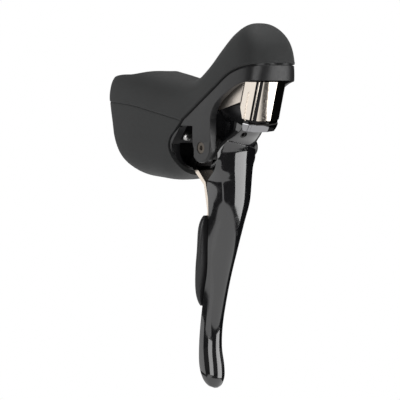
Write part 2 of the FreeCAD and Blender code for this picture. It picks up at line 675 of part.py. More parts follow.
def neck_relief():
    """Room behind the neck for the lever's boss and, at each side, for the ears as the lever swings."""
    middle = profile([(40, 10), (61.8, 10), (61.2, -14.0), (58.0, -22.6), (40, -22.6)], -5.4, 5.4)
    sides = [profile([(40, 10), (64.4, 10), (62.5, -7.0), (62.3, -17.0), (60.8, -22.0), (56.4, -23.8), (40, -23.6)],
                     *sorted((side * 5.2, side * 30.0))) for side in (-1, 1)]
    return fuse(middle, *sides)


def lever_blade():
    blade = loft([blade_section(*station) for station in BLADE])
    cap_room = rod((3.6, 0, 0), (30, 0, 0), CAP_SWING_R + 0.5)
    blade = cut(blade, blade_channel(), neck_relief(),
                seat(rod((-30, 0, 0), (30, 0, 0), HUB_R)),
                seat(cap_room), seat(box(3.6, 40, -20, 20, -9, 30)),
                box(0, 120, -30, 30, 2.0, 60),
                reach_rod(REACH_R, -9.0, 3.0))
    return max(blade.Solids, key=lambda s: s.Volume)


def lever_hub():
    """The alloy hub on the shift axle: a disc with a skirt over the drum."""
    body = rod((-11.0, 0, 0), (3.5, 0, 0), HUB_R)
    return seat(cut(body,
                    rod((-12, 0, 0), (-4.6, 0, 0), HUB_R - 0.9),
                    rod((-20, 0, 0), (20, 0, 0), HUB_BUSH_R),
                    box(-12, -7.0, -4.5, 4.5, 5, 12),
                    rod((-8, 0, FEED_PIN_W), (-1.6, 0, FEED_PIN_W), 0.7)))


HUB_BUSH_R, FEED_PIN_W = 3.9, -7.6


def hub_bush():
    return seat(tube((-4.6, 0, 0), (3.5, 0, 0), HUB_BUSH_R, SHAFT_R + RUN))


def feed_pawl():
    """On the hub, below the ratchet wheel, lifted clear of its teeth."""
    body = along([(-1.3, -6.6), (1.3, -6.6), (4.6, -5.2), (5.4, -5.6), (4.6, -6.6), (1.4, -8.5), (-1.2, -8.6)],
                 -6.3, -5.0)
    return seat(body.cut(rod((-8, 0, FEED_PIN_W), (0, 0, FEED_PIN_W), 0.7)))


def feed_pawl_pin():
    return seat(rod((-6.3, 0, FEED_PIN_W), (-1.7, 0, FEED_PIN_W), 0.7))


REACH_AT = V(70.4, -4.0, -5.2)
REACH_OUT = V(0.95, 0, -0.31).normalize()
REACH_R = 1.5


def reach_rod(r, s0, s1):
    return Part.makeCylinder(r, s1 - s0, REACH_AT + REACH_OUT * s0, REACH_OUT)


def reach_screw():
    screw = reach_rod(REACH_R - 0.05, -7.0, -0.9)
    hexagon = hex_prism(0.8, 2.0)
    hexagon.Placement = FreeCAD.Placement(REACH_AT + REACH_OUT * -2.6, FreeCAD.Rotation(V(0, 0, 1), REACH_OUT))
    return screw.cut(hexagon)


# ---------------------------------------------------------------- release lever
def release_plate():
    """The steel plate at the rear of the shift axle and its arm, bent forward under the ears."""
    ring = rod((REAR_PLATE_U0, 0, 0), (REAR_PLATE_U1, 0, 0), 4.6)
    strip = along([(-3.4, -3.0), (3.4, -3.0), (2.6, -22.0), (1.0, -34.2), (-8.0, -34.2), (-7.8, -29.0),
                   (-3.0, -24.0)], REAR_PLATE_U0, REAR_PLATE_U1)
    flange = box(-26.0, REAR_PLATE_U0 + 0.2, -8.0, -6.8, -33.8, -29.2)
    t = REAR_PLATE_U1 - REAR_PLATE_U0
    arm = profile([(REAR_PLATE_U1, -32.6), (-14.6, -37.6), (-10.4, -45.4), (ARM_U, ARM_TOP_W), (ARM_U, -57.0),
                   (ARM_U - t, -57.0), (ARM_U - t, ARM_TOP_W + 0.3), (-11.8, -46.2), (-15.4, -39.0),
                   (REAR_PLATE_U0, -34.4)], *ARM_Y)
    body = fuse(ring, strip, flange, arm)
    return seat(body.cut(rod((-30, 0, 0), (-20, 0, 0), RELEASE_BUSH_R)))


RELEASE_BUSH_R = 3.6
ARM_Y = (-7.6, 0.2)                 # the arm's width
ARM_U, ARM_TOP_W = -8.6, -50.0     # the arm's flat end, front face and top


def release_bush():
    return seat(tube((REAR_PLATE_U0, 0, 0), (REAR_PLATE_U1, 0, 0), RELEASE_BUSH_R, SHAFT_R + RUN))


def paddle_section(z, front, rear, y_in, y_out):
    middle, half = (y_in + y_out) / 2, (y_out - y_in) / 2
    centre, depth = (front + rear) / 2, (front - rear) / 2
    points = []
    for step in range(12):
        a = 2 * math.pi * step / 12
        c, s = math.cos(a), math.sin(a)
        points.append(V(centre + math.copysign(abs(c) ** 0.7, c) * depth,
                        middle + math.copysign(abs(s) ** 0.55, s) * half, z))
    return points


def arm_room():
    """The paddle's slot for the arm's end."""
    t = REAR_PLATE_U1 - REAR_PLATE_U0
    return seat(box(ARM_U - t, ARM_U, *ARM_Y, -57.0, ARM_TOP_W))


def release_paddle():
    body = loft([paddle_section(*station) for station in PADDLE])
    body = cut(body, seat(box(-30, ARM_U, *ARM_Y, ARM_TOP_W, -30.0)), arm_room(), rivet_rods(0.8, 1.5))
    return max(body.Solids, key=lambda s: s.Volume)


def rivet_rods(r, reach):
    """Two rivets through the paddle and the arm's end."""
    return Part.makeCompound([
        seat(rod((ARM_U - 1.4 - reach, y, -54.2), (ARM_U + reach, y, -54.2), r)) for y in (-5.6, -1.8)])


def release_rivets():
    return rivet_rods(0.8, 0.9)


def release_plate_riveted():
    return release_plate().cut(rivet_rods(0.8, 1.5))


def release_spring():
    turns = coil(4.4, 0.4, 3, 0.7)
    turns.rotate(V(0, 0, 0), V(0, 1, 0), 90)
    turns.translate(V(-22.3, 0, 0))
    return seat(turns)


NODES = {
    "bracket_body": bracket_body,
    "hood": hood,
    "clamp_band": clamp_band,
    "clamp_nut": clamp_nut,
    "clamp_bolt": clamp_bolt,
    "clamp_washer": clamp_washer,
    "brake_casing_seat": lambda: casing_seat(CASING_Y, BRAKE_SEAT_R, BRAKE_CASING_R),
    "shift_casing_seat": lambda: casing_seat(-CASING_Y, SHIFT_SEAT_R, SHIFT_CASING_R),
    "guide_screw": guide_screw,
    "lever_axle": lever_axle,
    "axle_set_screw": axle_set_screw,
    "lever_support": lever_support,
    "pivot_bushes": pivot_bushes,
    "return_spring": return_spring,
    "shift_axle": grooved_axle,
    "axle_nut": axle_nut,
    "axle_spacer": axle_spacer,
    "front_plate": front_plate,
    "front_cap": front_cap,
    "cap_screws": cap_screws,
    "unit_cover": unit_cover,
    "stop_pawl": stop_pawl,
    "stop_pawl_pin": stop_pawl_pin,
    "rear_washer": rear_washer,
    "rear_clip": rear_clip,
    "cable_drum": cable_drum,
    "ratchet_wheel": ratchet_wheel,
    "index_wheel": index_wheel,
    "cable_hook": cable_hook,
    "lever_blade": lever_blade,
    "lever_hub": lever_hub,
    "hub_bush": hub_bush,
    "feed_pawl": feed_pawl,
    "feed_pawl_pin": feed_pawl_pin,
    "reach_screw": reach_screw,
    "release_plate": release_plate_riveted,
    "release_paddle": release_paddle,
    "release_rivets": release_rivets,
    "release_bush": release_bush,
    "release_spring": release_spring,
}

for node, make in NODES.items():
    save(node, make())
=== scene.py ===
"""Looks of the left-hand brake and shift lever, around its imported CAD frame.

Metres, +X forward, +Y outer side. Lengths in the shape tables are millimetres.
"""

import json
import math

import bmesh
import bpy
import numpy as np
from mathutils import Matrix, Vector


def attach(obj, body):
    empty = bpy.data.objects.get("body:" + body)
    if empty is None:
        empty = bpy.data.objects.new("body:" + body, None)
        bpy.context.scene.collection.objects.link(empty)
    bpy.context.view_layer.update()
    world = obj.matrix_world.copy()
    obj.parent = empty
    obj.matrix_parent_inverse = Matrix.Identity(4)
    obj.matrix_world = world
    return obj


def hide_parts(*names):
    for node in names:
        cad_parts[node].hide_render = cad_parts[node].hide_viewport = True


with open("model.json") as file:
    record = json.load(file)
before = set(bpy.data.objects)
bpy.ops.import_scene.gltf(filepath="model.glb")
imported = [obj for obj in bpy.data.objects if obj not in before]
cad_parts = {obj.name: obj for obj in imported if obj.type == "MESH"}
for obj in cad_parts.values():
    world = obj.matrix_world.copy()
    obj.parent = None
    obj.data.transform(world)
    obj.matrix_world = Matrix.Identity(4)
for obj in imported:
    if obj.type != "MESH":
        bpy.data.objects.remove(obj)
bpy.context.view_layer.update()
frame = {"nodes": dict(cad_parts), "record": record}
MM = 0.001

# ---------------------------------------------------------------- shape of the grip, in millimetres
# Side-view stations: (top x, z), (bottom x, z), half width, squareness.
GRIP = [
    ((-13.9, 19.4), (-5.6, -17.2), 15.4, 3.3),
    ((-10.6, 22.9), (-2.8, -21.4), 16.7, 3.2),
    ((2.0, 23.6), (5.0, -24.8), 17.3, 3.2),
    ((16.0, 21.6), (17.0, -26.0), 17.4, 3.1),
    ((28.0, 19.4), (28.5, -26.3), 17.2, 3.1),
    ((38.0, 18.4), (40.0, -23.6), 17.0, 3.1),
    ((46.5, 20.4), (52.0, -22.0), 16.8, 3.1),
    ((54.5, 26.6), (64.0, -22.0), 16.7, 3.0),
    ((61.5, 34.4), (75.0, -22.0), 16.3, 2.8),
    ((68.0, 40.3), (82.4, -12.0), 15.4, 2.7),
    ((75.0, 43.2), (86.0, 2.0), 14.1, 2.6),
    ((81.2, 40.8), (87.5, 15.0), 11.8, 2.5),
    ((85.8, 35.6), (88.3, 22.0), 8.0, 2.3),
    ((87.9, 30.6), (88.7, 26.0), 3.0, 2.1),
]
HOOD_T = 2.0                           # thickness of the rubber
BAR_SLOT = 12.6                        # half width of the opening for the handlebar

# Side-view lines (x, z): the hood's front edge along the bracket's rim, its notch, and its flanks' seam.
RIM_EDGE = [(104.0, 27.0), (88.0, 25.2), (78.4, 23.4), (71.9, 20.7), (65.3, 15.9), (56.1, 9.3), (43.5, 0.6)]
NOTCH_EDGE = [(43.5, 0.6), (39.0, -4.0), (35.6, -7.4), (34.6, -11.0), (36.0, -15.0), (38.6, -19.6),
              (39.8, -24.0), (40.4, -34.0)]
SEAM = [(-20.0, 8.0), (-8.0, 7.7), (6.9, 6.6), (17.8, 4.9), (28.5, 3.0), (43.0, 0.5), (60.0, -2.5),
        (90.0, -7.0)]
NOSE_X = 88.6                          # the foremost point of the grip
LIP_GAP = 1.0                          # the hood's edge stops this far short of the bracket's rim
LIP_R = 0.55                           # radius of the bead along that edge
LIP_SET_BACK = 0.5                     # the bead's middle line lies this far behind the edge
LIP_PROUD = 0.12                       # the bead stands this far out of the hood's surface
EDGE_REACH = 0.6                       # a point further than this from every section is off the grip

# Main lever blade, downwards: z, crown x, ridge x, ridge half width, rear x, rear half width, middle y.
BLADE = [
    (3.0, 74.6, 73.8, 6.0, 65.5, 7.0, 0.0),
    (-2.0, 73.2, 72.2, 6.2, 64.5, 7.2, 0.0),
    (-5.0, 71.0, 69.6, 7.2, 64.2, 8.4, -0.3),
    (-8.5, 67.5, 65.6, 8.8, 63.0, 10.0, -1.1),
    (-12.0, 66.2, 64.1, 8.9, 62.5, 10.8, -1.5),
    (-16.0, 65.5, 63.3, 8.9, 62.3, 10.8, -1.5),
    (-18.5, 65.2, 63.0, 8.9, 60.8, 10.7, -1.3),
    (-21.0, 64.9, 62.7, 8.8, 59.2, 10.5, -1.1),
    (-24.0, 64.5, 62.2, 8.6, 55.6, 10.3, -0.7),
    (-27.0, 64.1, 61.8, 8.4, 53.4, 10.2, -0.4),
    (-35.0, 63.2, 61.2, 7.6, 53.4, 9.9, 0.0),
    (-44.0, 61.6, 59.8, 5.8, 53.0, 9.3, 0.0),
    (-54.0, 59.4, 58.0, 4.2, 51.6, 8.3, 0.0),
    (-66.0, 56.0, 54.6, 3.6, 49.5, 6.8, 0.0),
    (-78.0, 52.8, 51.4, 3.6, 46.2, 6.1, 0.0),
    (-90.0, 50.3, 48.8, 4.0, 43.8, 5.6, 0.0),
    (-100.0, 49.6, 48.0, 4.5, 43.0, 5.6, 0.0),
    (-108.0, 50.9, 49.4, 4.9, 43.6, 5.8, 0.0),
    (-113.5, 51.2, 50.0, 4.6, 45.2, 5.2, 0.0),
    (-116.8, 50.0, 49.3, 3.0, 46.9, 3.5, 0.0),
    (-118.0, 49.0, 48.8, 1.0, 48.3, 1.1, 0.0),
]


# ---------------------------------------------------------------- small helpers
def smooth(rows, t):
    """Catmull-Rom through rows of numbers, t running from 0 to the last row's index."""
    rows = np.asarray(rows, float)
    i = min(int(t), len(rows) - 2)
    f = t - i
    p1, p2 = rows[i], rows[i + 1]
    p0 = rows[i - 1] if i > 0 else 2 * p1 - p2
    p3 = rows[i + 2] if i + 2 < len(rows) else 2 * p2 - p1
    return 0.5 * (2 * p1 + (p2 - p0) * f + (2 * p0 - 5 * p1 + 4 * p2 - p3) * f ** 2
                  + (3 * p1 - p0 - 3 * p2 + p3) * f ** 3)


def polyline(points, per_span=12):
    return [tuple(smooth(points, k / per_span)) for k in range((len(points) - 1) * per_span + 1)]


def make_object(name, mesh):
    obj = bpy.data.objects.new(name, mesh)
    bpy.context.scene.collection.objects.link(obj)
    return obj


def grid_object(name, rings):
    """A closed surface through rings of points in millimetres, each ring closed on itself."""
    bm = bmesh.new()
    made = [[bm.verts.new(Vector(p) * MM) for p in ring] for ring in rings]
    count = len(made[0])
    for a, b in zip(made, made[1:]):
        for k in range(count):
            n = (k + 1) % count
            bm.faces.new((a[k], a[n], b[n], b[k]))
    bm.faces.new(list(reversed(made[0])))
    bm.faces.new(made[-1])
    bmesh.ops.recalc_face_normals(bm, faces=bm.faces)
    mesh = bpy.data.meshes.new(name)
    bm.to_mesh(mesh)
    bm.free()
    return make_object(name, mesh)


def prism_object(name, outline, half_width):
    """A closed prism along Y from side-view points (x, z) in millimetres."""
    bm = bmesh.new()
    near = [bm.verts.new((x * MM, -half_width * MM, z * MM)) for x, z in outline]
    far = [bm.verts.new((x * MM, half_width * MM, z * MM)) for x, z in outline]
    for k in range(len(outline)):
        n = (k + 1) % len(outline)
        bm.faces.new((near[k], near[n], far[n], far[k]))
    bm.faces.new(list(reversed(near)))
    bm.faces.new(far)
    bmesh.ops.triangulate(bm, faces=[f for f in bm.faces if len(f.verts) > 4])
    bmesh.ops.recalc_face_normals(bm, faces=bm.faces)
    mesh = bpy.data.meshes.new(name)
    bm.to_mesh(mesh)
    bm.free()
    return make_object(name, mesh)


def apply_modifiers(obj):
    """Replaces the object's mesh by its evaluated one."""
    bpy.context.view_layer.update()
    evaluated = obj.evaluated_get(bpy.context.evaluated_depsgraph_get())
    mesh = bpy.data.meshes.new_from_object(evaluated)
    obj.modifiers.clear()
    obj.data = mesh


def subtract(obj, *cutters):
    """Cuts each cutter out of the object in turn, and removes the cutter."""
    for cutter in cutters:
        mod = obj.modifiers.new("cut", "BOOLEAN")
        mod.operation, mod.solver, mod.object = "DIFFERENCE", "EXACT", cutter
        apply_modifiers(obj)
        bpy.data.objects.remove(cutter)


def shade(obj, angle):
    """Smooth shading, with edges sharper than the angle in degrees kept."""
    mesh = obj.data
    mesh.polygons.foreach_set("use_smooth", [True] * len(mesh.polygons))
    mesh.set_sharp_from_angle(angle=math.radians(angle))


# ---------------------------------------------------------------- the grip's surface
def station(t):
    """Top, bottom, half width and squareness at station t."""
    rows = [(*top, *bottom, half, square) for top, bottom, half, square in GRIP]
    tx, tz, bx, bz, half, square = smooth(rows, t)
    return np.array([tx, tz]), np.array([bx, bz]), half, square


def grip_rings(inset, along, around, rear_extra=0.0):
    """Rings of points on the grip, sunk by inset; rear_extra carries the rear end further back."""
    rings = []
    last = len(GRIP) - 1
    for i in range(along):
        t = last * i / (along - 1)
        top, bottom, half, square = station(t)
        middle, span = (top + bottom) / 2, top - bottom
        length = np.linalg.norm(span)
        up, height = span / length, length / 2 - inset
        middle = middle + np.array([-rear_extra * max(0.0, 1 - t), 0.0])
        middle = middle - np.array([inset * max(0.0, t - last + 1), 0.0])
        ring = []
        for k in range(around):
            angle = 2 * math.pi * k / around
            c, s = math.cos(angle), math.sin(angle)
            rise = math.copysign(abs(c) ** (2 / square), c) * max(height, 0.2)
            side = math.copysign(abs(s) ** (2 / square), s) * max(half - inset, 0.2)
            point = middle + up * rise
            ring.append((point[0], side, point[1]))
        rings.append(ring)
    return rings


def seam_height(x):
    """Height of the seam at x."""
    xs, zs = zip(*polyline(SEAM))
    return np.interp(x, xs, zs)


def step(value, low, high):
    """Nought below low, one above high, smooth between."""
    f = min(max((value - low) / (high - low), 0.0), 1.0)
    return f * f * (3 - 2 * f)


# Columns of points either side of the seam, and the room kept free for them.
SEAM_COLUMNS = [-1.4, -0.9, -0.55, -0.3, -0.15, 0.0, 0.15, 0.3, 0.55, 0.9, 1.4]
SEAM_ROOM = 1.9
SEAM_FRONT_X = 52.0                    # sections whose middle lies further forward have no seam
GROOVE_DEPTH, GROOVE_WIDTH = 0.5, 0.33
PANEL_DEPTH = 0.28                     # how much deeper the hood's lower panel lies
PANEL_START, PANEL_END = (0.0, 0.7), (9.0, 16.0)   # distances below the seam over which it deepens and ends
SEAM_FADE = (41.0, 44.0)               # x over which the seam fades out


def hood_ring(dense, held):
    """One section with columns of points gathered along the seam, where the lower panel lies deeper.

    Past the seam's front end the columns keep the shares of the section's length given in held.
    """
    pts = np.array(dense + dense[:1])
    run = np.concatenate([[0.0], np.cumsum(np.linalg.norm(np.diff(pts, axis=0), axis=1))])
    half = len(dense) // 2
    if pts[:, 0].mean() < SEAM_FRONT_X:
        for side, (low, high) in enumerate(((0, half), (half, 2 * half))):
            gap = pts[low:high + 1, 2] - seam_height(pts[low:high + 1, 0])
            k = int(np.argmax(gap[:-1] * gap[1:] <= 0))
            f = gap[k] / (gap[k] - gap[k + 1])
            held[side] = (run[low + k] + f * (run[low + k + 1] - run[low + k])) / run[-1]
    first, second = held[0] * run[-1], held[1] * run[-1]
    marks = list(np.linspace(0.0, first - SEAM_ROOM, 36)) + [first + c for c in SEAM_COLUMNS]
    marks += list(np.linspace(first + SEAM_ROOM, second - SEAM_ROOM, 70)) + [second + c for c in SEAM_COLUMNS]
    marks += list(np.linspace(second + SEAM_ROOM, run[-1], 36, endpoint=False))
    ring = []
    for mark in marks:
        x, y, z = (np.interp(mark, run, pts[:, k]) for k in range(3))
        near = min(abs(mark - first), abs(mark - second))
        below = first < mark < second
        fade = 1 - step(x, *SEAM_FADE)
        groove = GROOVE_DEPTH * math.exp(-(near / GROOVE_WIDTH) ** 2)
        panel = PANEL_DEPTH * step(near, *PANEL_START) * (1 - step(near, *PANEL_END)) if below else 0.0
        ring.append((x, y - math.copysign(min(fade * (groove + panel), abs(y)), y), z))
    return ring


def offset_edge(points, distance):
    """A side-view line moved sideways, to the left of its direction."""
    pts = np.array(points)
    direction = np.gradient(pts, axis=0)
    direction /= np.linalg.norm(direction, axis=1)[:, None]
    return [(x - distance * dz, z + distance * dx) for (x, z), (dx, dz) in zip(pts, direction)]


def grip_half_width(x, z):
    """Half width of the grip's surface at a side-view point, or None outside it."""
    last = len(GRIP) - 1
    best = None
    for t in np.linspace(0.0, last, 20 * last + 1):
        top, bottom, half, square = station(t)
        middle, span = (top + bottom) / 2, top - bottom
        length = np.linalg.norm(span)
        up = span / length
        rel = np.array([x, z]) - middle
        off = abs(rel[0] * up[1] - rel[1] * up[0])
        rise = abs(rel @ up) / (length / 2)
        if best is None or off < best[0]:
            best = (off, rise, half, square)
    off, rise, half, square = best
    if off > EDGE_REACH:
        return None
    return half * (1 - min(rise, 1.0) ** square) ** (1 / square) if rise < 1.0 else None


def lip_bead(edge, radius):
    """A round bead along the hood's whole front edge, just under its surface."""
    one_side = [(x, grip_half_width(x, z), z) for x, z in edge]
    one_side = [(x, half, z) for x, half, z in one_side if half is not None]
    whole = np.array([(x, -half, z) for x, half, z in reversed(one_side)] + one_side)
    run = np.concatenate([[0.0], np.cumsum(np.linalg.norm(np.diff(whole, axis=0), axis=1))])
    marks = np.linspace(0.0, run[-1], 240)
    line = np.stack([np.interp(marks, run, whole[:, k]) for k in range(3)], axis=1)
    for _ in range(6):
        line[1:-1] = (line[:-2] + 2 * line[1:-1] + line[2:]) / 4
    ahead = np.gradient(line, axis=0)
    ahead /= np.linalg.norm(ahead, axis=1)[:, None]
    rings = []
    for centre, way in zip(line, ahead):
        out = np.cross(way, [0.0, 0.0, 1.0])
        out /= np.linalg.norm(out)
        up = np.cross(out, way)
        if out @ (centre - np.array([60.0, 0.0, centre[2]])) < 0:
            out = -out
        middle = centre - out * (radius - LIP_PROUD)
        ring = [middle + radius * (math.cos(t) * out + math.sin(t) * up)
                for t in np.linspace(0, 2 * math.pi, 12, endpoint=False)]
        rings.append([(min(x, NOSE_X), y, z) for x, y, z in ring])
    return grid_object("hood_lip", rings)


def rubber_hood():
    """The grip's surface, hollowed, with its front cut along the rim and its rear open for the bar."""
    held = [0.2, 0.8]
    rings = [hood_ring(ring, held) for ring in grip_rings(0.0, 230, 360)]
    hood = grid_object("rubber_hood", rings)
    inner = grid_object("hood_inner", grip_rings(HOOD_T, 90, 72, 3.0))
    edge = polyline(RIM_EDGE) + polyline(NOTCH_EDGE)[1:]
    edge = offset_edge(edge, -LIP_GAP)
    front = prism_object("hood_front", edge + [(110.0, -34.0)], 30.0)
    arc = [(-40.0, -BAR_SLOT), (0.0, -BAR_SLOT)]
    arc += [(BAR_SLOT * math.sin(a), -BAR_SLOT * math.cos(a)) for a in np.linspace(0.1, math.pi - 0.1, 24)]
    arc += [(0.0, BAR_SLOT), (-40.0, BAR_SLOT)]
    bar = grid_object("hood_bar", [[(x, y, z) for x, y in arc] for z in (-60.0, 60.0)])
    subtract(hood, inner, front, bar)
    shade(hood, 32.0)
    return hood


# ---------------------------------------------------------------- blade
def blade_outline(row):
    """The +Y half of one section, from the front's middle to the rear edge: (x, y) pairs."""
    _, crown, ridge_x, ridge_h, rear_x, rear_h, _ = row
    bulge = crown - ridge_x
    front = [(ridge_x + bulge * (1 - f ** 2.2), ridge_h * f)
             for f in (0.0, 0.18, 0.36, 0.52, 0.66, 0.78, 0.88, 0.95)]
    corner = [(ridge_x + 0.02 * bulge, ridge_h * 0.985), (ridge_x - 0.15, ridge_h + 0.02)]
    flank = [(ridge_x + (rear_x - ridge_x) * f,
              ridge_h + (rear_h - ridge_h) * f + 0.25 * math.sin(math.pi * f))
             for f in (0.1, 0.22, 0.36, 0.52, 0.68, 0.82, 0.92)]
    return front + corner + flank


def soften(points, sigma, count):
    """Resamples an open line evenly and smooths it over sigma millimetres, keeping its ends."""
    pts = np.array(points)
    run = np.concatenate([[0.0], np.cumsum(np.linalg.norm(np.diff(pts, axis=0), axis=1))])
    marks = np.linspace(0.0, run[-1], count)
    even = np.stack([np.interp(marks, run, pts[:, k]) for k in range(2)], axis=1)
    out = even.copy()
    for k in range(1, count - 1):
        reach = min(sigma, 0.6 * marks[k] + 0.05, 0.6 * (run[-1] - marks[k]) + 0.05)
        weight = np.exp(-((marks - marks[k]) / max(reach, 1e-3)) ** 2 / 2)
        out[k] = (even * weight[:, None]).sum(0) / weight.sum()
    return out


FRONT_POINTS = 81                      # points along the outside of a section
BLADE_WALL = 2.0                       # thickest wall beside the hollow in the blade's rear
HOLLOW_START, HOLLOW_END = (18.0, 25.0), (76.0, 96.0)   # depths over which the hollow begins and ends
SOFTER, SOFTEST = (48.0, 72.0), (72.0, 100.0)           # depths over which the ridges grow rounder
PANEL_TOP_Z, PANEL_TOP_SLOPE = -9.4, 0.2
NECK_DEPTH = 0.55                      # how far the neck lies behind the glossy panel
BLADE_SECTIONS = 260

# The reach screw's hole, and the rooms cut free about the shift axle: radius, and extent along it.
REACH_AT = np.array([70.4, -4.0, -5.2])
REACH_OUT = np.array([0.951, 0.0, -0.310])
REACH_UP = np.array([0.310, 0.0, 0.951])
REACH_R = 1.5
HUB_ROOM_R, HUB_ROOM_U = 9.6, (-30.0, 30.0)
CAP_ROOM_R, CAP_ROOM_U = 12.5, (3.6, 30.0)


def panel_top(y):
    """Height of the glossy panel's upper edge; the neck above it lies deeper."""
    return PANEL_TOP_Z - PANEL_TOP_SLOPE * y


def blade_ring(row):
    """One whole section: the front softened more towards the tip, the rear hollowed behind the pivot."""
    z, _, ridge_x, ridge_h, rear_x, rear_h, middle = row
    outer = blade_outline(row)
    deep = step(-z, *HOLLOW_START) * (1 - step(-z, *HOLLOW_END))
    wall = min(BLADE_WALL, rear_h * 0.45)
    outer.append((rear_x, rear_h))
    whole = [(x, -y) for x, y in reversed(outer[1:])] + outer
    sigma = 0.22 + 1.25 * step(-z, *SOFTER) + 0.9 * step(-z, *SOFTEST)
    whole = soften(whole, min(sigma, 0.45 * rear_h), FRONT_POINTS)
    lip = [(rear_x - 0.2, rear_h - 0.4 * wall), (rear_x + 0.1, rear_h - 0.9 * wall)]
    floor_x = rear_x + 0.3 + deep * max(ridge_x - 1.8 - rear_x, 0.0)
    base_h = rear_h - wall
    inner = [(rear_x + (floor_x - rear_x) * f + 0.3, base_h + (max(ridge_h - 2.0, 1.0) - base_h) * f * deep)
             for f in (0.3, 0.6, 0.85)]
    inner += [(floor_x + 0.2, inner[-1][1] * f) for f in (0.66, 0.33, 0.0)]
    back = lip + inner
    ring = []
    for x, y in whole:
        sunk = NECK_DEPTH * step(z, panel_top(y) - 0.2, panel_top(y) + 0.25)
        ring.append((x - sunk, middle + y * (1 - 0.03 * sunk), z))
    ring += [(x, middle + y, z) for x, y in back]
    ring += [(x, middle - y, z) for x, y in reversed(back[:-1])]
    return ring


def reach_hole():
    """The hole through the neck that the reach screw sits in."""
    side = np.array([0.0, 1.0, 0.0])
    angles = np.linspace(0, 2 * math.pi, 32, endpoint=False)
    return grid_object("reach_hole", [
        [tuple(REACH_AT + REACH_OUT * depth + REACH_R * (math.cos(t) * side + math.sin(t) * REACH_UP))
         for t in angles] for depth in (-9.0, 3.0)])


def lever_blade():
    """The main lever's blade, cut clear of the winding unit and the cap, with the reach screw's hole."""
    last = len(BLADE) - 1
    rows = [tuple(smooth(BLADE, last * k / (BLADE_SECTIONS - 1))) for k in range(BLADE_SECTIONS)]
    blade = grid_object("blade_shell", [blade_ring(row) for row in rows])
    room = unit_rod("blade_room", *HUB_ROOM_U, HUB_ROOM_R, 64)
    front_room = unit_rod("cap_room", *CAP_ROOM_U, CAP_ROOM_R, 64)
    subtract(blade, room, front_room, reach_hole())
    shade(blade, 38.0)
    return blade


# ---------------------------------------------------------------- front cap
# The winding unit's frame: u forward along the shift axle, w up across it, y as in the row frame.
UNIT = (72.0, 6.5)
TILT = math.radians(14.0)
CAP_HALF, CAP_REAR, CAP_WALL = 10.9, -10.9, 0.8
CAP_TOP_Z, CAP_TOP_X, CAP_FLOOR_W = 17.9, 72.0, -8.6
CAP_HOLLOW_W = (-14.0, 17.0 - CAP_WALL)
CAP_SWING_R = 12.0                     # the cap's lower corners are rounded so that the lever can swing
CAP_LEVELS = [-10.5, -9.4, -8.6, -8.0, -7.3, -6.5, -5.8, -5.4, -5.2, -5.0, -4.8, -4.3, -4.0, -3.8, -3.6, -3.3,
              -2.0, 0.0, 2.0, 4.0, 6.0, 8.0, 10.0, 12.0, 14.0, 17.0, 20.0]

# The cap's plan (u, y) from its -Y flank round the front to its +Y flank, and its hollow's. The two grooves
# lie on the -Y side only.
CAP_OUTSIDE = [
    (CAP_REAR, -CAP_HALF), (1.9, -CAP_HALF), (2.3, -CAP_HALF + 0.06), (3.0, -10.5), (4.6, -9.25), (6.5, -7.7),
    (6.7, -7.45), (6.62, -7.2), (6.62, -6.95), (7.2, -6.62), (7.3, -6.45), (7.3, -6.25), (7.2, -6.05),
    (7.25, -5.7), (8.1, -5.05), (8.35, -4.85), (8.5, -4.4), (8.55, -1.0), (8.5, 2.6), (8.35, 3.3),
    (8.0, 4.2), (7.1, 7.5), (6.6, 8.6), (6.0, 9.6), (5.2, 10.5), (4.6, CAP_HALF - 0.06), (4.2, CAP_HALF),
    (CAP_REAR, CAP_HALF),
]
CAP_INSIDE = [
    (CAP_REAR - 2.0, -(CAP_HALF - CAP_WALL)), (1.6, -(CAP_HALF - CAP_WALL)), (5.4, -7.2), (7.4, -4.6),
    (7.6, 2.6), (6.2, 7.4), (4.2, CAP_HALF - CAP_WALL), (CAP_REAR - 2.0, CAP_HALF - CAP_WALL),
]


def from_unit(u, y, w):
    """Row frame point of a point in the winding unit's frame."""
    return (UNIT[0] + u * math.cos(TILT) + w * math.sin(TILT), y,
            UNIT[1] - u * math.sin(TILT) + w * math.cos(TILT))


def unit_rod(name, u0, u1, radius, count):
    """A round bar about the shift axle."""
    angles = np.linspace(0, 2 * math.pi, count, endpoint=False)
    return grid_object(name, [[from_unit(u, radius * math.cos(a), radius * math.sin(a)) for a in angles]
                              for u in (u0, u1)])


def cap_recess(w):
    """How far the front lies behind the facet's plane: a rolled step, then the lip."""
    if w > -3.3:
        return 0.0
    step_in = 0.6 * step(-w, 3.3, 3.9) * (1 - step(-w, 4.8, 5.4))
    return step_in + 0.15 * step(-w, 4.8, 5.4) + 0.9 * step(-w, 5.6, 9.6)


def cap_ring(w, plan):
    """The plan at height w, leaning forward and stepping back as the cap does there."""
    lean = 0.5 * (w + 14.0) / 34.0
    back = cap_recess(w)
    return [from_unit(u + step(u, CAP_REAR + 2.0, 2.0) * (lean - back), y, w) for u, y in plan]


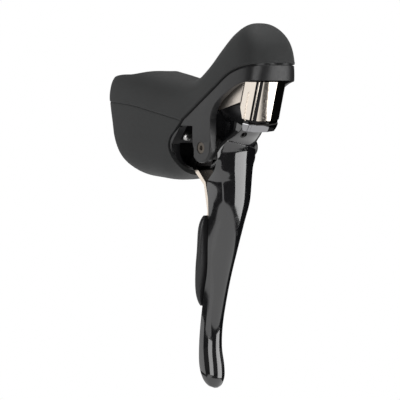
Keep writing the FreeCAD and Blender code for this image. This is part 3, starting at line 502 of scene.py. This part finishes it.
def bright_cap():
    """Flanks, a broad chamfer with two grooves on the -Y side, a nearly flat front, a turned-away +Y side."""
    cap = grid_object("bright_cap", [cap_ring(w, CAP_OUTSIDE) for w in CAP_LEVELS])
    inner = grid_object("cap_inner", [cap_ring(w, CAP_INSIDE) for w in CAP_HOLLOW_W])
    rise = 30.0 * math.tan(TILT)
    roof = prism_object("cap_roof", [(120.0, CAP_TOP_Z), (120.0, 60.0), (CAP_TOP_X - 30.0, 60.0),
                                     (CAP_TOP_X - 30.0, CAP_TOP_Z + rise), (CAP_TOP_X, CAP_TOP_Z)], 25.0)
    window_points = ((-30.0, -15.0), (2.4, 3.4), (4.6, -4.6), (4.6, -30.0), (-30.0, -30.0))
    window = prism_object("cap_window", [from_unit(u, 0.0, w)[::2] for u, w in window_points], 25.0)
    cutters = [inner, roof, window]
    for side in (-1, 1):
        arc = [(side * CAP_SWING_R * math.cos(t), -CAP_SWING_R * math.sin(t))
               for t in np.linspace(0, math.pi / 2, 24)]
        arc += [(0.0, -20.0), (side * 20.0, -20.0), (side * 20.0, 0.0)]
        cutters.append(grid_object("cap_swing", [[from_unit(u, y, w) for y, w in arc]
                                                 for u in (-16.0, 20.0)]))
    square = ((-20, -20), (20, -20), (20, 20), (-20, 20))
    cutters.append(grid_object("cap_floor", [[from_unit(u, y, w) for u, y in square]
                                             for w in (-20.0, CAP_FLOOR_W)]))
    subtract(cap, *cutters)
    shade(cap, 24.0)
    return cap


# ---------------------------------------------------------------- materials
def material(name):
    """A new node material with its tree's nodes and links and its main shader."""
    mat = bpy.data.materials.new(name)
    mat.use_nodes = True
    nodes = mat.node_tree.nodes
    return mat, nodes, mat.node_tree.links, nodes["Principled BSDF"]


def object_coords(nodes, links, scale):
    coords = nodes.new("ShaderNodeTexCoord")
    mapping = nodes.new("ShaderNodeMapping")
    mapping.inputs["Scale"].default_value = scale
    links.new(coords.outputs["Object"], mapping.inputs["Vector"])
    return mapping.outputs["Vector"]


def noise(nodes, links, vector, scale, detail=4.0, roughness=0.55):
    node = nodes.new("ShaderNodeTexNoise")
    node.inputs["Scale"].default_value = scale
    node.inputs["Detail"].default_value = detail
    node.inputs["Roughness"].default_value = roughness
    links.new(vector, node.inputs["Vector"])
    return node.outputs["Fac"]


def ramp(nodes, links, factor, low, high, start=0.3, end=0.7):
    node = nodes.new("ShaderNodeMapRange")
    node.inputs["From Min"].default_value = start
    node.inputs["From Max"].default_value = end
    node.inputs["To Min"].default_value = low
    node.inputs["To Max"].default_value = high
    links.new(factor, node.inputs["Value"])
    return node.outputs["Result"]


def tint(nodes, links, factor, dark, light):
    node = nodes.new("ShaderNodeMix")
    node.data_type = "RGBA"
    node.inputs["A"].default_value = (*dark, 1)
    node.inputs["B"].default_value = (*light, 1)
    links.new(factor, node.inputs["Factor"])
    return node.outputs["Result"]


def bump(nodes, links, bsdf, height, strength, distance):
    node = nodes.new("ShaderNodeBump")
    node.inputs["Strength"].default_value = strength
    node.inputs["Distance"].default_value = distance
    links.new(height, node.inputs["Height"])
    links.new(node.outputs["Normal"], bsdf.inputs["Normal"])
    return node


def plain_material(name, dark, light, metallic, rough, grain=900.0, stretch=(1, 1, 1), bump_height=0.00003,
                   coat=0.0, strength=0.25, edge=0.0):
    """Base colour varies with broad noise; roughness and fine bump vary with noise of the given grain."""
    mat, nodes, links, bsdf = material(name)
    vector = object_coords(nodes, links, stretch)
    wide = noise(nodes, links, vector, 60.0, 3.0)
    fine = noise(nodes, links, vector, grain, 5.0)
    links.new(tint(nodes, links, wide, dark, light), bsdf.inputs["Base Color"])
    links.new(ramp(nodes, links, fine, rough - 0.05, rough + 0.05), bsdf.inputs["Roughness"])
    bsdf.inputs["Metallic"].default_value = metallic
    bsdf.inputs["Coat Weight"].default_value = coat
    bsdf.inputs["Specular IOR Level"].default_value = 0.5 + 0.2 * coat
    relief = bump(nodes, links, bsdf, fine, strength, bump_height)
    if edge:
        rounded_edges(nodes, links, relief, edge)
    return mat


def axis_values(nodes, links):
    """Row-frame x, y, z of the surface point, in metres."""
    coords = nodes.new("ShaderNodeTexCoord")
    split = nodes.new("ShaderNodeSeparateXYZ")
    links.new(coords.outputs["Object"], split.inputs[0])
    return split.outputs


def math_node(nodes, links, kind, a, b):
    node = nodes.new("ShaderNodeMath")
    node.operation = kind
    for socket, value in zip(node.inputs, (a, b)):
        if isinstance(value, (int, float)):
            socket.default_value = value
        else:
            links.new(value, socket)
    return node.outputs[0]


def rounded_edges(nodes, links, bump_node, radius):
    """Shades edges as if they were rounded to the radius in metres."""
    edge = nodes.new("ShaderNodeBevel")
    edge.samples = 6
    edge.inputs["Radius"].default_value = radius
    links.new(edge.outputs["Normal"], bump_node.inputs["Normal"])


def rubber_material():
    """Dull black rubber with a fine moulded grain."""
    mat, nodes, links, bsdf = material("hood_rubber")
    vector = object_coords(nodes, links, (1, 1, 1))
    wide = noise(nodes, links, vector, 45.0, 3.0)
    fine = noise(nodes, links, vector, 2600.0, 6.0, 0.65)
    colour = tint(nodes, links, wide, (0.013, 0.0138, 0.014), (0.020, 0.021, 0.021))
    links.new(colour, bsdf.inputs["Base Color"])
    links.new(ramp(nodes, links, fine, 0.56, 0.72), bsdf.inputs["Roughness"])
    bsdf.inputs["Specular IOR Level"].default_value = 0.42
    bsdf.inputs["Sheen Weight"].default_value = 0.08
    bsdf.inputs["Sheen Roughness"].default_value = 0.5
    bump(nodes, links, bsdf, fine, 0.35, 0.00006)
    return mat


def between(nodes, links, value, low, high, soft):
    """One inside the range, nought outside, with soft ends."""
    return math_node(nodes, links, "MULTIPLY", ramp(nodes, links, value, 0.0, 1.0, low - soft, low + soft),
                     ramp(nodes, links, value, 1.0, 0.0, high - soft, high + soft))


def blend_colour(nodes, links, factor, under, over):
    node = nodes.new("ShaderNodeMix")
    node.data_type = "RGBA"
    links.new(factor, node.inputs["Factor"])
    links.new(under, node.inputs["A"])
    node.inputs["B"].default_value = (*over, 1)
    return node.outputs["Result"]


# Where the cap's colour changes, in metres: |y| of the satin flanks, depths below the shift axle of the band
# of painted shade across the foot and of the lip, y of the grooves' painted shade. Then y and z of the
# release plate's black stretch, a painted shadow.
FLANK_Y = (0.01075, 0.01085)
FOOT_SHADE_BAND, LIP_BAND = (0.0051, 0.0034), (0.0053, 0.0051)
GROOVE_SHADE_BANDS = ((-0.0076, -0.0067), (-0.0061, -0.0050))
PLATE_DARK_Y, PLATE_DARK_Z = (-0.0085, -0.0080), (-0.0216, -0.0212)


def cap_material():
    """Bright plating; satin flanks, painted shade in the grooves by the front and across the foot, a duller
    lip.
    """
    mat, nodes, links, bsdf = material("cap_chrome")
    vector = object_coords(nodes, links, (1, 1, 1))
    fine = noise(nodes, links, vector, 700.0, 5.0)
    wide = noise(nodes, links, vector, 60.0, 3.0)
    x, y, z = axis_values(nodes, links)
    across = math_node(nodes, links, "ABSOLUTE", y, 0.0)
    flank = ramp(nodes, links, across, 0.0, 0.32, *FLANK_Y)
    polish = ramp(nodes, links, fine, 0.05, 0.09)
    rise = math_node(nodes, links, "ADD", math_node(nodes, links, "MULTIPLY", x, math.sin(TILT)),
                     math_node(nodes, links, "MULTIPLY", z, math.cos(TILT)))
    zero = (UNIT[0] * math.sin(TILT) + UNIT[1] * math.cos(TILT)) * MM
    # Painted shade: black across the foot's recessed step, and in the two grooves above the foot and the lip.
    foot = between(nodes, links, rise, zero - FOOT_SHADE_BAND[0], zero - FOOT_SHADE_BAND[1], 0.0001)
    lip = ramp(nodes, links, rise, 1.0, 0.0, zero - LIP_BAND[0], zero - LIP_BAND[1])
    grooves = math_node(nodes, links, "ADD",
                        *(between(nodes, links, y, *band, 0.00006) for band in GROOVE_SHADE_BANDS))
    above = math_node(nodes, links, "SUBTRACT", 1.0, math_node(nodes, links, "ADD", foot, lip))
    black = math_node(nodes, links, "ADD", foot, math_node(nodes, links, "MULTIPLY", grooves, above))
    colour = tint(nodes, links, wide, (0.80, 0.72, 0.63), (0.84, 0.77, 0.69))
    colour = blend_colour(nodes, links, flank, colour, (0.46, 0.42, 0.39))
    colour = blend_colour(nodes, links, lip, colour, (0.33, 0.33, 0.34))
    # The painted shade turns the plating black there.
    links.new(blend_colour(nodes, links, black, colour, (0.02, 0.02, 0.02)), bsdf.inputs["Base Color"])
    links.new(math_node(nodes, links, "ADD", flank, polish), bsdf.inputs["Roughness"])
    bsdf.inputs["Metallic"].default_value = 1.0
    bump(nodes, links, bsdf, fine, 0.1, 0.000004)
    return mat


def plate_material():
    """Nickel plate; black stands in for the shadow on the stretch behind the bracket's ear."""
    mat, nodes, links, bsdf = material("plate_nickel")
    fine = noise(nodes, links, object_coords(nodes, links, (1, 6, 1)), 900.0, 5.0)
    _, y, z = axis_values(nodes, links)
    hidden = math_node(nodes, links, "MULTIPLY", ramp(nodes, links, y, 0.0, 1.0, *PLATE_DARK_Y),
                       ramp(nodes, links, z, 0.0, 1.0, *PLATE_DARK_Z))
    colour = tint(nodes, links, fine, (0.66, 0.58, 0.50), (0.74, 0.66, 0.57))
    links.new(blend_colour(nodes, links, hidden, colour, (0.015, 0.014, 0.014)), bsdf.inputs["Base Color"])
    links.new(ramp(nodes, links, fine, 0.22, 0.32), bsdf.inputs["Roughness"])
    bsdf.inputs["Metallic"].default_value = 1.0
    bump(nodes, links, bsdf, fine, 0.2, 0.00002)
    return mat


MATERIALS = {
    "rubber": rubber_material(),
    "bracket_black": plain_material("bracket_satin", (0.006, 0.006, 0.0065), (0.010, 0.010, 0.011), 0.0, 0.36,
                                    edge=0.0004),
    "blade_black": plain_material("blade_gloss", (0.004, 0.004, 0.0045), (0.007, 0.007, 0.008), 0.0, 0.10,
                                  grain=500.0, bump_height=0.000004, coat=1.0, strength=0.1),
    "paddle_black": plain_material("paddle_satin", (0.010, 0.010, 0.011), (0.016, 0.016, 0.017), 0.0, 0.34,
                                   edge=0.0003),
    "chrome_cap": cap_material(),
    "cast_aluminium": plain_material("anodised_black", (0.014, 0.014, 0.015), (0.024, 0.024, 0.026), 0.6,
                                     0.3),
    "black_cover": plain_material("cover_gloss", (0.006, 0.006, 0.007), (0.009, 0.009, 0.010), 0.0, 0.14,
                                  coat=0.5),
    "polymer": plain_material("acetal", (0.03, 0.03, 0.033), (0.045, 0.045, 0.05), 0.0, 0.4),
    "brass": plain_material("turned_brass", (0.62, 0.46, 0.2), (0.72, 0.56, 0.28), 1.0, 0.28,
                            stretch=(1, 1, 6)),
    "bronze": plain_material("sintered_bronze", (0.36, 0.24, 0.13), (0.46, 0.32, 0.18), 1.0, 0.42),
    "plated_steel": plain_material("nickel_plate", (0.60, 0.52, 0.44), (0.74, 0.66, 0.57), 1.0, 0.26,
                                   stretch=(1, 6, 1), edge=0.0002),
    "steel": plain_material("zinc_plate", (0.42, 0.41, 0.40), (0.56, 0.55, 0.54), 1.0, 0.3,
                            stretch=(1, 1, 5)),
}

# Nodes that look different from the rest of their slot.
NODE_MATERIALS = {
    "release_plate": plate_material(),
    "reach_screw": plain_material("oxide_screw", (0.012, 0.012, 0.012), (0.025, 0.024, 0.023), 0.5, 0.4),
    "return_spring": plain_material("black_spring", (0.01, 0.01, 0.01), (0.02, 0.02, 0.02), 0.3, 0.45),
    "lever_axle": plain_material("pin_oxide", (0.10, 0.085, 0.07), (0.15, 0.13, 0.11), 0.7, 0.5),
}


def dress(obj, slot):
    obj.data.materials.clear()
    obj.data.materials.append(MATERIALS[slot])


def dress_cad():
    for part in frame["record"]["subparts"]:
        obj = frame["nodes"][part["node"]]
        for slot in obj.material_slots:
            slot.link = "OBJECT"
            slot.material = NODE_MATERIALS.get(part["node"], MATERIALS[part["material_slot"]])


# ---------------------------------------------------------------- studio
# Soft lights: name, azimuth and elevation in degrees, distance, width, height, radiance.
CARDS = [
    ("key_strip", 41.0, -3.0, 1.0, 0.64, 0.62, 3.2),
    ("camera_fill", -38.0, 2.0, 1.1, 0.84, 0.6, 2.8),
    ("left_wall", -135.0, 4.0, 1.2, 1.5, 0.9, 1.1),
    ("top", 20.0, 80.0, 1.0, 1.2, 1.2, 2.2),
]
CARD_CENTRE = Vector((0.055, 0.0, -0.03))
ROOM_LIGHT = 0.10
FLOOR_Z, FLOOR_SIZE = -0.45, 8.0


def card(name, azimuth, elevation, distance, width, height, radiance):
    """A soft box in that direction from the lever, angles from +X and from the level, facing the lever."""
    a, e = math.radians(azimuth), math.radians(elevation)
    way = Vector((math.cos(e) * math.cos(a), math.cos(e) * math.sin(a), math.sin(e)))
    place = CARD_CENTRE + distance * way
    data = bpy.data.lights.new(name, "AREA")
    data.shape = "RECTANGLE"
    data.size, data.size_y = width, height
    data.energy = radiance * math.pi * width * height
    light = bpy.data.objects.new(name, data)
    bpy.context.scene.collection.objects.link(light)
    light.location = place
    light.rotation_mode = "QUATERNION"
    light.rotation_quaternion = (CARD_CENTRE - place).to_track_quat("-Z", "Y")
    light.visible_camera = False


def white_when_seen(nodes, links, output, lighting, seen_white):
    """Shows the camera plain white, and everything else the lighting shader."""
    path = nodes.new("ShaderNodeLightPath")
    mix = nodes.new("ShaderNodeMixShader")
    links.new(path.outputs["Is Camera Ray"], mix.inputs[0])
    links.new(lighting.outputs[0], mix.inputs[1])
    links.new(seen_white.outputs[0], mix.inputs[2])
    links.new(mix.outputs[0], nodes[output].inputs["Surface"])


def floor_material():
    """White to the camera; to the lever, a lit table top below it and a lit patch on the -Y side."""
    mat, nodes, links, bsdf = material("floor_white")
    nodes.remove(bsdf)
    coords = nodes.new("ShaderNodeTexCoord")
    reach = nodes.new("ShaderNodeVectorMath")
    reach.operation = "LENGTH"
    links.new(coords.outputs["Object"], reach.inputs[0])
    x, y, _ = axis_values(nodes, links)
    near = ramp(nodes, links, reach.outputs["Value"], 0.90, 0.05, 1.0, 1.06)
    right = ramp(nodes, links, y, 1.0, 0.05, 0.70, 0.74)
    patch = math_node(nodes, links, "MULTIPLY", between(nodes, links, y, -1.9, -0.75, 0.05),
                      between(nodes, links, x, 0.1, 1.3, 0.05))
    top = math_node(nodes, links, "MULTIPLY", near, right)
    table = nodes.new("ShaderNodeEmission")
    links.new(math_node(nodes, links, "MAXIMUM", patch, top), table.inputs["Strength"])
    white_when_seen(nodes, links, "Material Output", table, nodes.new("ShaderNodeEmission"))
    return mat


def studio():
    """Plain white surroundings, the soft lights and the floor."""
    world = bpy.data.worlds.new("studio")
    bpy.context.scene.world = world
    world.use_nodes = True
    nodes, links = world.node_tree.nodes, world.node_tree.links
    room = nodes["Background"]
    white = nodes.new("ShaderNodeBackground")
    for shader, strength in ((room, ROOM_LIGHT), (white, 1.0)):
        shader.inputs["Color"].default_value = (1, 1, 1, 1)
        shader.inputs["Strength"].default_value = strength
    white_when_seen(nodes, links, "World Output", room, white)

    for row in CARDS:
        card(*row)

    bm = bmesh.new()
    bmesh.ops.create_grid(bm, x_segments=1, y_segments=1, size=FLOOR_SIZE)
    mesh = bpy.data.meshes.new("floor")
    bm.to_mesh(mesh)
    bm.free()
    floor = make_object("floor", mesh)
    floor.location = (0, 0, FLOOR_Z)
    mesh.materials.append(floor_material())
    bpy.context.scene.view_settings.view_transform = "Standard"


# ---------------------------------------------------------------- camera
# Azimuth from -Y towards +X, elevation and roll in degrees; distance in metres from the row frame's origin.
CAMERA_AZ, CAMERA_EL, CAMERA_ROLL, CAMERA_DIST = 51.75, 1.33, -0.6, 1.0
SENSOR = 36.0
CAMERA_TARGET = Vector((14.8, 17.4, -36.8)) * MM
CAMERA_FOCAL_PER_WIDTH = 2180.0 / 400.0


def camera():
    a, e = math.radians(CAMERA_AZ), math.radians(CAMERA_EL)
    back = Vector((math.sin(a) * math.cos(e), -math.cos(a) * math.cos(e), math.sin(e)))
    data = bpy.data.cameras.new("camera")
    data.sensor_width = SENSOR
    data.lens = SENSOR * CAMERA_FOCAL_PER_WIDTH
    cam = bpy.data.objects.new("camera", data)
    bpy.context.scene.collection.objects.link(cam)
    cam.location = back * CAMERA_DIST
    look = (CAMERA_TARGET - cam.location).normalized()
    turn = Matrix.Rotation(math.radians(CAMERA_ROLL), 4, look)
    cam.rotation_mode = "QUATERNION"
    cam.rotation_quaternion = (turn @ look.to_track_quat("-Z", "Y").to_matrix().to_4x4()).to_quaternion()
    bpy.context.scene.camera = cam


# ---------------------------------------------------------------- assembly
dress_cad()
hood = rubber_hood()
dress(hood, "rubber")
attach(hood, "bracket")
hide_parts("hood")

blade = lever_blade()
dress(blade, "blade_black")
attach(blade, "brake_lever")
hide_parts("lever_blade")

cap = bright_cap()
dress(cap, "chrome_cap")
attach(cap, "lever_support")
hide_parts("front_cap")

lip = lip_bead(offset_edge(polyline(RIM_EDGE), -LIP_GAP - LIP_SET_BACK), LIP_R)
dress(lip, "rubber")
shade(lip, 60.0)
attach(lip, "bracket")

studio()
camera()
